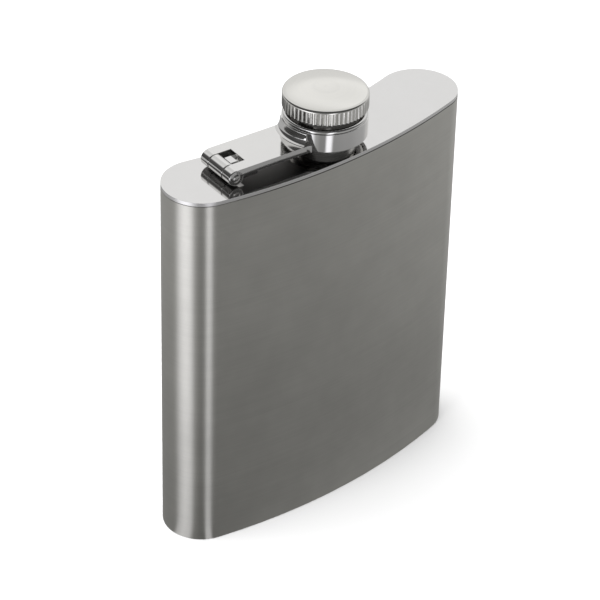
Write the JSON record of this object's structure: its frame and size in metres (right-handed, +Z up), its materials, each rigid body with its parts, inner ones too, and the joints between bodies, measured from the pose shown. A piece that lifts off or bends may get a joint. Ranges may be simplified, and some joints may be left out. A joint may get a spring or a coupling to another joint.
{
  "type": "hip flask",
  "caption": "Curved stainless steel hip flask with a brushed body, a polished top, and a knurled screw cap held captive on a hinged swivel arm.",
  "frame": {"origin": "on the flat base, under the axis of the neck", "axes": "+Z up along the neck's axis; +X across the wide face, away from the hinge; the convex front faces -Y"},
  "size_m": [0.095, 0.026, 0.1231],
  "materials": {
    "brushed_body": "fine horizontal brushing",
    "polished_steel": "mirror polished",
    "plain_steel": "turned, unpolished",
    "seal": "soft, matt, food-safe"
  },
  "bodies": {
    "flask": {"body_shell": "brushed_body", "top_plate": "polished_steel", "bottom_plate": "brushed_body", "neck": "plain_steel", "hinge_bracket": "polished_steel"},
    "arm": {"cap_arm": "polished_steel", "swivel_ring": "polished_steel", "hinge_pin": "plain_steel"},
    "cap_lift": {"snap_ring": "plain_steel"},
    "cap": {"cap_sleeve": "polished_steel", "seal_disc": "seal", "cap_shell": "polished_steel"}
  },
  "joints": [
    {"name": "arm_hinge", "type": "hinge", "parent": "flask", "child": "arm", "pos_m": [-0.03154, 0.00314, 0.1096], "axis": [-0.0991, -0.9951, 0], "range_deg": [0, 180]},
    {"name": "cap_rise", "type": "slide", "parent": "arm", "child": "cap_lift", "axis": [0, 0, 1], "range_m": [0, 0.00301]},
    {"name": "cap_spin", "type": "hinge", "parent": "cap_lift", "child": "cap", "pos_m": [0, 0, 0.1195], "axis": [0, 0, 1], "range_deg": [0, 720]}
  ],
  "couplings": [
    {"joint": "cap_rise", "follows": "cap_spin", "m_per_rad": 0.00023873}
  ]
}
